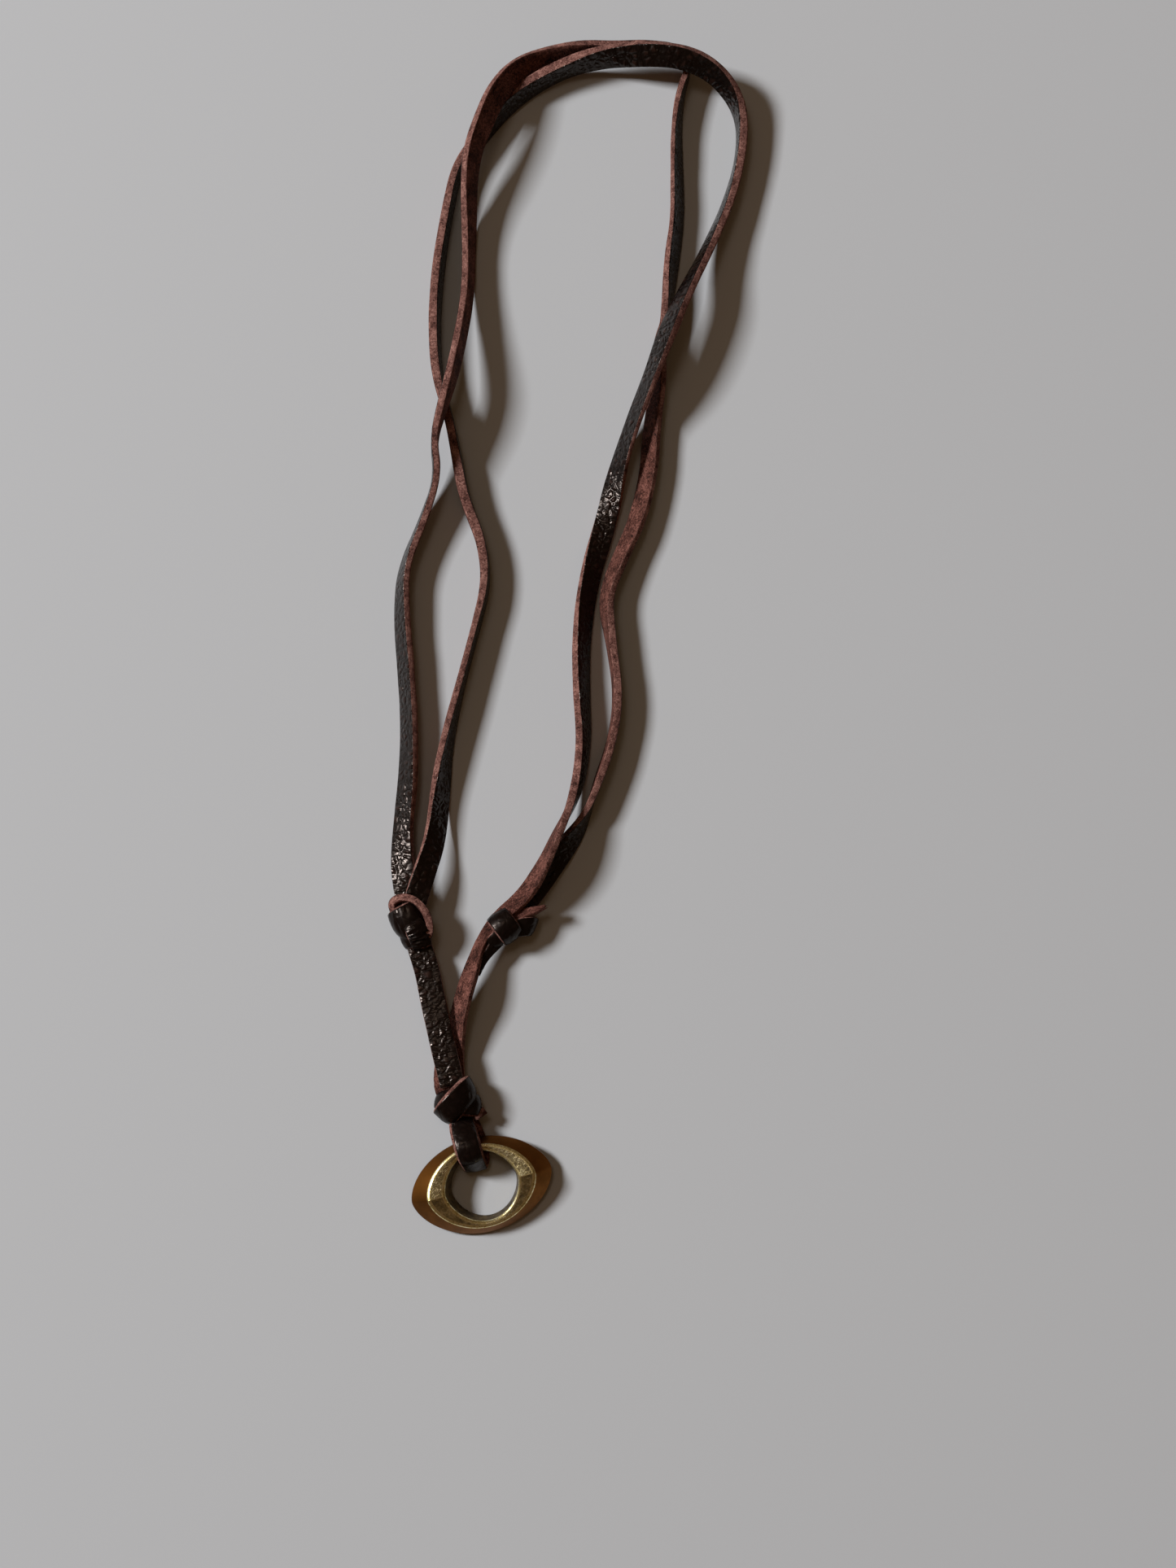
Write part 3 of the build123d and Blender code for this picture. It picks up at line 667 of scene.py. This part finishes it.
def castRing():
    x, y = ring["length"] * mm / 2, ring["breadth"] * mm / 2
    crestX, crestY = ring["crest"][0] * mm / 2, ring["crest"][1] * mm / 2
    holeX, holeY = ring["hole"][0] * mm / 2, ring["hole"][1] * mm / 2
    draft, height = ring["draft"] * mm, ring["height"] * mm
    bpy.ops.mesh.primitive_circle_add(vertices=ring["steps"], radius=x, fill_type="NOTHING")
    piece = bpy.context.object
    piece.name = "pendantRing"
    for vertex in piece.data.vertices:  # the circle becomes an eye's outline
        share = vertex.co.y / x
        vertex.co.y = math.copysign(abs(share) ** ring["eyePoint"], share) * y
    bpy.ops.object.mode_set(mode="EDIT")
    bpy.ops.mesh.select_all(action="SELECT")
    steps = [  # lift, then how much wider or narrower each next circle is
        (ring["edge"] * mm, 1.0, 1.0),
        (height - ring["edge"] * mm, crestX / x, crestY / y),
        (-ring["dish"] * mm, holeX / crestX, holeY / crestY),
        (ring["dish"] * mm - height, (holeX - draft) / holeX, (holeY - draft) / holeY),
    ]
    level = 0.0
    for lift, wider, longer in steps:
        level += lift
        bpy.ops.mesh.extrude_edges_move(TRANSFORM_OT_translate={"value": (0, 0, lift)})
        bpy.ops.transform.resize(value=(wider, longer, 1), center_override=(0, 0, level))
    bpy.ops.transform.translate(value=(ring["slant"] * mm, 0, 0))
    bpy.ops.object.mode_set(mode="OBJECT")
    return piece


ringPiece = castRing()
print("ring outline drawn")


def pick(piece, wanted):
    # selects these vertices, and ends in edit mode
    bpy.ops.object.mode_set(mode="EDIT")
    bpy.context.tool_settings.mesh_select_mode = (True, False, False)
    bpy.ops.mesh.select_all(action="DESELECT")
    bpy.ops.object.mode_set(mode="OBJECT")
    for found in wanted:
        piece.data.vertices[found].select = True
    bpy.ops.object.mode_set(mode="EDIT")


count = ring["steps"]
tiny = 0.01 * mm
halfway = 0.5 * ring["height"] * mm
pick(ringPiece, [v.index for v in ringPiece.data.vertices if abs(v.co.z) < tiny])
bpy.ops.mesh.bridge_edge_loops()  # the flat back
for side in (1, -1):
    bpy.ops.object.mode_set(mode="OBJECT")
    pick(ringPiece, [v.index for v in ringPiece.data.vertices
                     if v.co.z > halfway and side * v.co.y > tiny])
    bpy.ops.transform.rotate(value=math.radians(side * ring["ridgeTurn"]), orient_axis="X",
                             center_override=(0, 0, ring["height"] * mm))
bpy.ops.object.mode_set(mode="OBJECT")
print("ring ridged")

# The worn edges: crest, lip of the hole, and the two ridges
wear = ringPiece.data.attributes.new("bevel_weight_edge", "FLOAT", "EDGE")
for edge in ringPiece.data.edges:
    one, two = sorted(v // count for v in edge.vertices)  # 2 is the crest, 3 the hole's lip
    onAxis = all(abs(ringPiece.data.vertices[v].co.y) < tiny for v in edge.vertices)
    if one == two:
        wear.data[edge.index].value = {2: ring["crestRound"], 3: ring["lipRound"]}.get(one, 0.0)
    elif onAxis and (one, two) == (2, 3):
        wear.data[edge.index].value = ring["ridgeRound"]
for kind in (annulusFace, flankFace, wornFace, boreFace):
    ringPiece.data.materials.append(None)  # the brasses come below
bevel = ringPiece.modifiers.new("worn", "BEVEL")
bevel.limit_method = "WEIGHT"
bevel.width = mm           # so a weight is a width in mm
bevel.segments = ring["roundSteps"]
bevel.profile = ring["fullness"]
bevel.material = wornFace
bpy.context.view_layer.objects.active = ringPiece
bpy.ops.object.modifier_apply(modifier="worn")
for face in ringPiece.data.polygons:
    middle = face.center
    if face.material_index != wornFace:
        outwards = face.normal.x * middle.x + face.normal.y * middle.y > 0
        steep = flankFace if outwards else boreFace
        face.material_index = annulusFace if face.normal.z > ring["faceSlope"] else steep
bpy.ops.object.mode_set(mode="EDIT")
bpy.ops.mesh.select_all(action="SELECT")
bpy.ops.mesh.remove_doubles(threshold=tiny / 10)
bpy.ops.mesh.normals_make_consistent(inside=False)
bpy.ops.object.mode_set(mode="OBJECT")
bpy.ops.object.shade_smooth_by_angle(angle=math.radians(ring["smooth"]))
tilt, turn = math.radians(ring["tilt"]), math.radians(ring["turn"])
lift = ring["breadth"] * mm / 2 * math.sin(tilt)
x, y = ring["centre"]
ringPiece.matrix_world = (Matrix.Translation((x * mm, y * mm, lift))
                          @ Matrix.Rotation(turn, 4, "Z") @ Matrix.Rotation(tilt, 4, "X"))
bpy.ops.object.transform_apply(location=True, rotation=True, scale=True)


def makeBrass(name, brass):
    material, tree = startMaterial(name)
    place = addNode(tree, "TexCoord", {})
    pit = {"Scale": scaleOf(brass["pit"]), "Detail": 4.0, "Roughness": 0.65}
    pits = addNode(tree, "TexNoise", pit, {"Vector": (place, "Object")})
    clouds = addNode(tree, "TexNoise", {"Scale": scaleOf(brass["cloud"]), "Detail": 3.0},
                     {"Vector": (place, "Object")})
    mixed = addNode(tree, "Math", {"operation": "MULTIPLY_ADD", 1: brass["cloudShare"]},
                    {0: (clouds, "Fac"), 2: (pits, "Fac")})
    stops = [(brass["tarnishAt"], brass["tarnish"]), (brass["brightAt"], brass["bright"]),
             (brass["bodyAt"], brass["body"])]
    colour = addNode(tree, "ValToRGB", {"stops": stops}, {"Fac": (mixed, 0)})
    finest, coarsest = brass["rough"]
    sheen = {"From Min": brass["coarsestAt"], "From Max": brass["brightAt"],
             "To Min": coarsest, "To Max": finest}
    dull = addNode(tree, "MapRange", sheen, {"Value": (mixed, 0)})
    bump = addNode(tree, "Bump", {"Strength": 1.0, "Distance": brass["depth"] * mm},
                   {"Height": (pits, "Fac")})
    shader = addNode(tree, "BsdfPrincipled", {"Metallic": 1.0},
                     {"Base Color": (colour, "Color"), "Roughness": (dull, 0),
                      "Normal": (bump, 0)})
    addNode(tree, "OutputMaterial", {}, {"Surface": (shader, 0)})
    return material


# Cast brass on the face, tumbled and left to tarnish: mottled olive gold
tumbledBrass = {
    "pit": 0.75, "cloud": 2.4,     # mm, across the pits and the clouds of tarnish
    "cloudShare": 0.7,
    "depth": 0.13,         # mm
    "rough": (0.24, 0.38),
    "tarnish": "#75664a", "body": "#ab9c70", "bright": "#e6dcb4",
    "coarsestAt": 0.62, "tarnishAt": 0.66, "bodyAt": 0.84, "brightAt": 1.0,
}
# The same brass on the flanks, smooth and warm under its tarnish
tarnishedBrass = {
    **tumbledBrass,
    "pit": 3.0, "cloud": 16.0, "depth": 0.01, "rough": (0.30, 0.34),
    "tarnish": "#6a4218", "body": "#75491c", "bright": "#805122",
}
# Brass rubbed bright by wear, on the rounded edges
wornBrass = {
    **tumbledBrass,
    "pit": 0.5, "cloud": 2.0, "depth": 0.03, "rough": (0.26, 0.40),
    "tarnish": "#b5a168", "body": "#ead79a", "bright": "#f8eec4",
}
# Brass inside the hole, dull, with its colour painted dark brown as the shade that falls inside
# the hole
shadedBoreBrass = {
    **tumbledBrass,
    "pit": 0.8, "cloud": 3.0, "depth": 0.02, "rough": (0.34, 0.50),
    "tarnish": "#3d301c", "body": "#584626", "bright": "#6c562e",
}
ringPiece.data.materials[annulusFace] = makeBrass("tumbledBrass", tumbledBrass)
ringPiece.data.materials[flankFace] = makeBrass("tarnishedBrass", tarnishedBrass)
ringPiece.data.materials[wornFace] = makeBrass("wornBrass", wornBrass)
# the hole's wall gets the brass painted dark with shade
ringPiece.data.materials[boreFace] = makeBrass("shadedBoreBrass", shadedBoreBrass)
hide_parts("pendant_ring")
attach(ringPiece, "root")
print("ring cast")

# A plain pale grey table top, and soft light from the upper left
studio = {
    "table": "#b8b8b8", "tableRough": 0.85, "tableSpecular": 0.2,
    "tableSize": 9.0,      # m
    # the lights: which way they come from, distance and size in m, power and colour
    "key": ((-0.775, 0.25, 0.63), 3.0, 0.60, 121.0, "#f6faff"),
    "top": ((-0.20, 0.30, 1.0), 1.2, 0.30, 0.75, "#fff0e0"),
    "sky": "#ffca94", "skyStrength": 0.09,
    "backdrop": "#a8a6a4",     # only the camera sees this one
}
bpy.ops.mesh.primitive_plane_add(size=studio["tableSize"], location=(0, 0, 0))
table = bpy.context.object
table.name = "table"
material, tree = startMaterial("matteTableTop")
finish = {"Base Color": linear(studio["table"]), "Roughness": studio["tableRough"],
          "Specular IOR Level": studio["tableSpecular"]}
shader = addNode(tree, "BsdfPrincipled", finish)
addNode(tree, "OutputMaterial", {}, {"Surface": (shader, 0)})
table.data.materials.append(material)


def hangLight(name):
    way, distance, size, power, colour = studio[name]
    light = bpy.data.lights.new(name, "AREA")
    light.size = size
    light.energy = power
    light.color = linear(colour)[:3]
    lamp = bpy.data.objects.new(name, light)
    bpy.context.collection.objects.link(lamp)
    lamp.location = Vector(view["aim"]) + Vector(way).normalized() * distance
    lamp.rotation_euler = Vector(way).to_track_quat("Z", "Y").to_euler()


hangLight("key")
hangLight("top")
world = bpy.data.worlds.new("studio")
bpy.context.scene.world = world
world.use_nodes = True
tree = world.node_tree
tree.nodes.clear()
glow = addNode(tree, "Background", {"Color": linear(studio["sky"]),
                                    "Strength": studio["skyStrength"]})
backdrop = addNode(tree, "Background", {"Color": linear(studio["backdrop"])})
path = addNode(tree, "LightPath", {})
mixed = addNode(tree, "MixShader", {}, {0: (path, "Is Camera Ray"), 1: (glow, 0),
                                        2: (backdrop, 0)})
addNode(tree, "OutputWorld", {}, {"Surface": (mixed, 0)})
bpy.context.scene.view_settings.view_transform = "Standard"
print("table and lights set")
